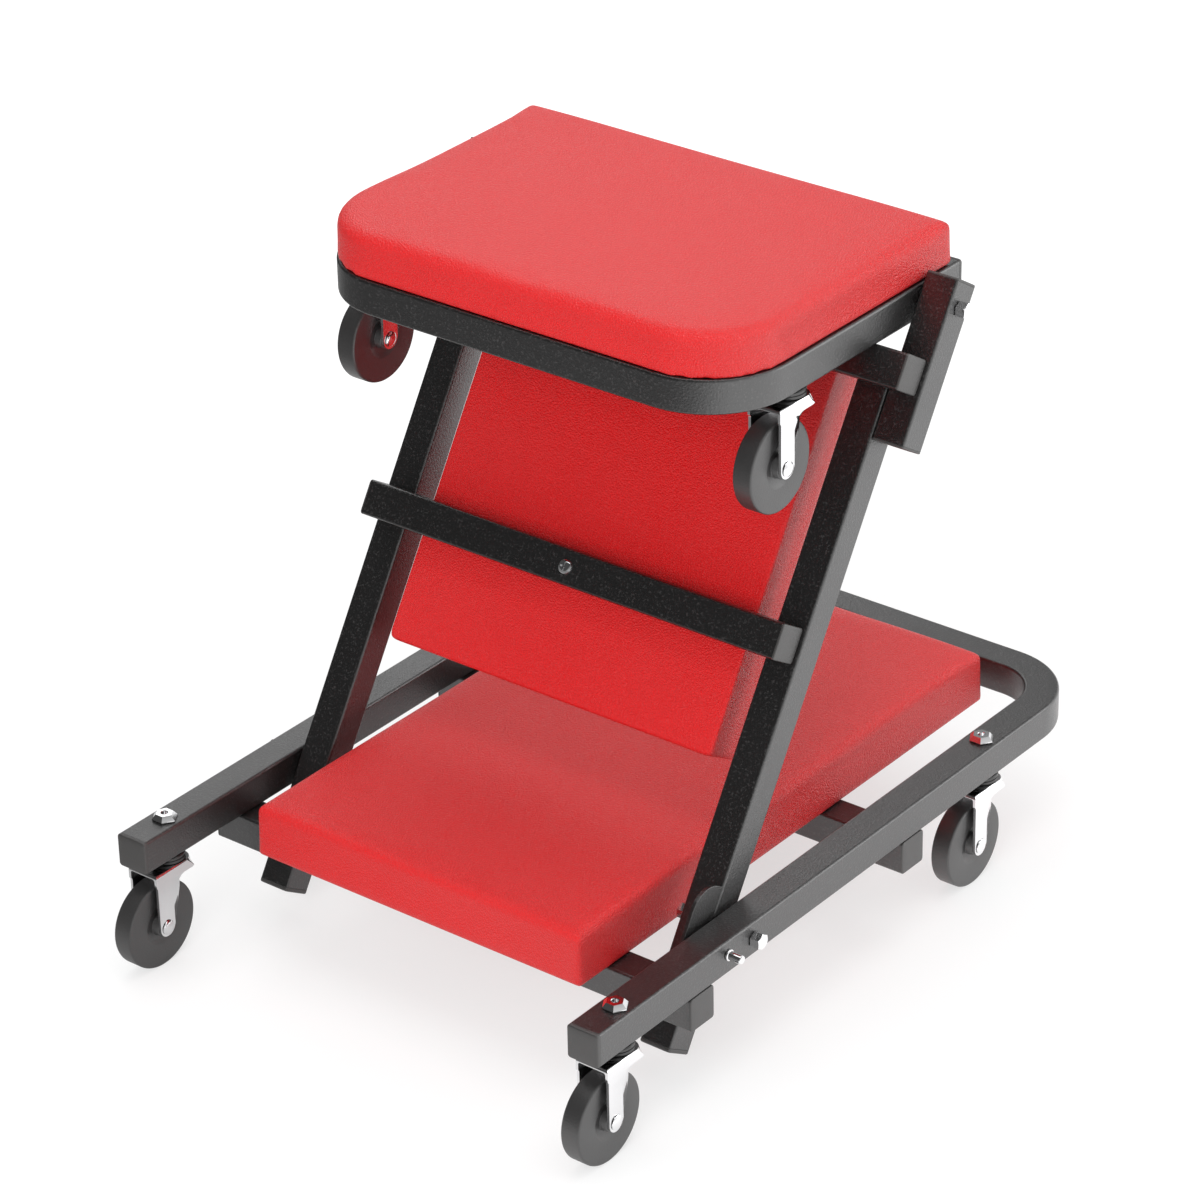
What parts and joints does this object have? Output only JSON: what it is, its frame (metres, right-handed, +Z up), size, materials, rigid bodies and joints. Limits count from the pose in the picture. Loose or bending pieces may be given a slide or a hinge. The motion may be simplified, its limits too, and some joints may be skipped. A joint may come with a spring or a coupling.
{
  "type": "folding mechanic creeper",
  "caption": "Folding mechanic creeper that stands up as a rolling seat: square tube frames, padded boards, swivel casters and a sprung lock pin.",
  "frame": {"origin": "on the ground, under the middle of the base's footprint, seat position", "axes": "+X to the right across the rails, +Y towards the closed back end of the base, +Z up"},
  "size_m": [0.4359, 0.5917, 0.5079],
  "materials": {
    "frame_coat": "satin",
    "pad_vinyl": "satin",
    "covered_board": "satin",
    "plug_plastic": "satin",
    "wheel_plastic": "satin",
    "bright_hardware": "polished",
    "swivel_steel": "satin"
  },
  "bodies": {
    "base": {"base_frame": "frame_coat", "base_crossbar_front": "frame_coat", "base_crossbar_rear": "frame_coat", "base_end_plug_left": "plug_plastic", "base_end_plug_right": "plug_plastic", "base_pad": "pad_vinyl", "base_board": "covered_board", "base_pivot_bolt_left": "bright_hardware", "base_pivot_bolt_right": "bright_hardware", "caster_nut_front_left": "bright_hardware", "caster_nut_front_right": "bright_hardware", "caster_nut_rear_left": "bright_hardware", "caster_nut_rear_right": "bright_hardware", "caster_stem_front_left": "swivel_steel", "caster_stem_front_right": "swivel_steel", "caster_stem_rear_left": "swivel_steel", "caster_stem_rear_right": "swivel_steel"},
    "mid": {"mid_rail_left": "frame_coat", "mid_rail_right": "frame_coat", "mid_crossbar": "frame_coat", "mid_upper_crossbar": "frame_coat", "seat_bracket_left": "frame_coat", "seat_bracket_right": "frame_coat", "lock_plate_right": "frame_coat", "tail_plug_left": "plug_plastic", "tail_plug_right": "plug_plastic", "mid_pad": "pad_vinyl", "mid_board": "covered_board", "seat_pivot_bolt_left": "bright_hardware", "seat_pivot_bolt_right": "bright_hardware"},
    "seat": {"seat_frame": "frame_coat", "seat_end_plug_left": "plug_plastic", "seat_end_plug_right": "plug_plastic", "seat_pad": "pad_vinyl", "seat_board": "covered_board", "caster_nut_seat_left": "bright_hardware", "caster_nut_seat_right": "bright_hardware", "caster_stem_seat_left": "swivel_steel", "caster_stem_seat_right": "swivel_steel"},
    "lock_right": {"lock_pin_right": "bright_hardware"},
    "fork_front_left": {"caster_fork_front_left": "bright_hardware", "caster_axle_front_left": "bright_hardware"},
    "fork_front_right": {"caster_fork_front_right": "bright_hardware", "caster_axle_front_right": "bright_hardware"},
    "fork_rear_left": {"caster_fork_rear_left": "bright_hardware", "caster_axle_rear_left": "bright_hardware"},
    "fork_rear_right": {"caster_fork_rear_right": "bright_hardware", "caster_axle_rear_right": "bright_hardware"},
    "fork_seat_left": {"caster_fork_seat_left": "bright_hardware", "caster_axle_seat_left": "bright_hardware"},
    "fork_seat_right": {"caster_fork_seat_right": "bright_hardware", "caster_axle_seat_right": "bright_hardware"},
    "wheel_front_left": {"caster_wheel_front_left": "wheel_plastic"},
    "wheel_front_right": {"caster_wheel_front_right": "wheel_plastic"},
    "wheel_rear_left": {"caster_wheel_rear_left": "wheel_plastic"},
    "wheel_rear_right": {"caster_wheel_rear_right": "wheel_plastic"},
    "wheel_seat_left": {"caster_wheel_seat_left": "wheel_plastic"},
    "wheel_seat_right": {"caster_wheel_seat_right": "wheel_plastic"}
  },
  "joints": [
    {"name": "base_fold", "type": "hinge", "parent": "base", "child": "mid", "pos_m": [0, -0.11355, 0.0945], "axis": [1, 0, 0], "range_deg": [0, 122]},
    {"name": "seat_fold", "type": "hinge", "parent": "mid", "child": "seat", "pos_m": [0, 0.1167, 0.46298], "axis": [1, 0, 0], "range_deg": [-122, 0]},
    {"name": "lock_right_pull", "type": "slide", "parent": "base", "child": "lock_right", "axis": [1, 0, 0], "range_m": [0, 0.009], "stiffness_N_per_m": 400, "springref_m": -0.004},
    {"name": "swivel_front_left", "type": "hinge", "parent": "base", "child": "fork_front_left", "pos_m": [-0.1955, -0.24585, 0.075], "axis": [0, 0, 1], "continuous": true},
    {"name": "swivel_front_right", "type": "hinge", "parent": "base", "child": "fork_front_right", "pos_m": [0.1955, -0.24585, 0.075], "axis": [0, 0, 1], "continuous": true},
    {"name": "swivel_rear_left", "type": "hinge", "parent": "base", "child": "fork_rear_left", "pos_m": [-0.1955, 0.17275, 0.075], "axis": [0, 0, 1], "continuous": true},
    {"name": "swivel_rear_right", "type": "hinge", "parent": "base", "child": "fork_rear_right", "pos_m": [0.1955, 0.17275, 0.075], "axis": [0, 0, 1], "continuous": true},
    {"name": "swivel_seat_left", "type": "hinge", "parent": "seat", "child": "fork_seat_left", "pos_m": [-0.1668, -0.01985, 0.44348], "axis": [0, 0, 1], "continuous": true},
    {"name": "swivel_seat_right", "type": "hinge", "parent": "seat", "child": "fork_seat_right", "pos_m": [0.1668, -0.01985, 0.44348], "axis": [0, 0, 1], "continuous": true},
    {"name": "roll_front_left", "type": "hinge", "parent": "fork_front_left", "child": "wheel_front_left", "pos_m": [-0.1955, -0.26335, 0.0325], "axis": [1, 0, 0], "continuous": true},
    {"name": "roll_front_right", "type": "hinge", "parent": "fork_front_right", "child": "wheel_front_right", "pos_m": [0.1955, -0.26335, 0.0325], "axis": [1, 0, 0], "continuous": true},
    {"name": "roll_rear_left", "type": "hinge", "parent": "fork_rear_left", "child": "wheel_rear_left", "pos_m": [-0.1955, 0.15525, 0.0325], "axis": [1, 0, 0], "continuous": true},
    {"name": "roll_rear_right", "type": "hinge", "parent": "fork_rear_right", "child": "wheel_rear_right", "pos_m": [0.1955, 0.15525, 0.0325], "axis": [1, 0, 0], "continuous": true},
    {"name": "roll_seat_left", "type": "hinge", "parent": "fork_seat_left", "child": "wheel_seat_left", "pos_m": [-0.1668, -0.03735, 0.40098], "axis": [1, 0, 0], "continuous": true},
    {"name": "roll_seat_right", "type": "hinge", "parent": "fork_seat_right", "child": "wheel_seat_right", "pos_m": [0.1668, -0.03735, 0.40098], "axis": [1, 0, 0], "continuous": true}
  ]
}
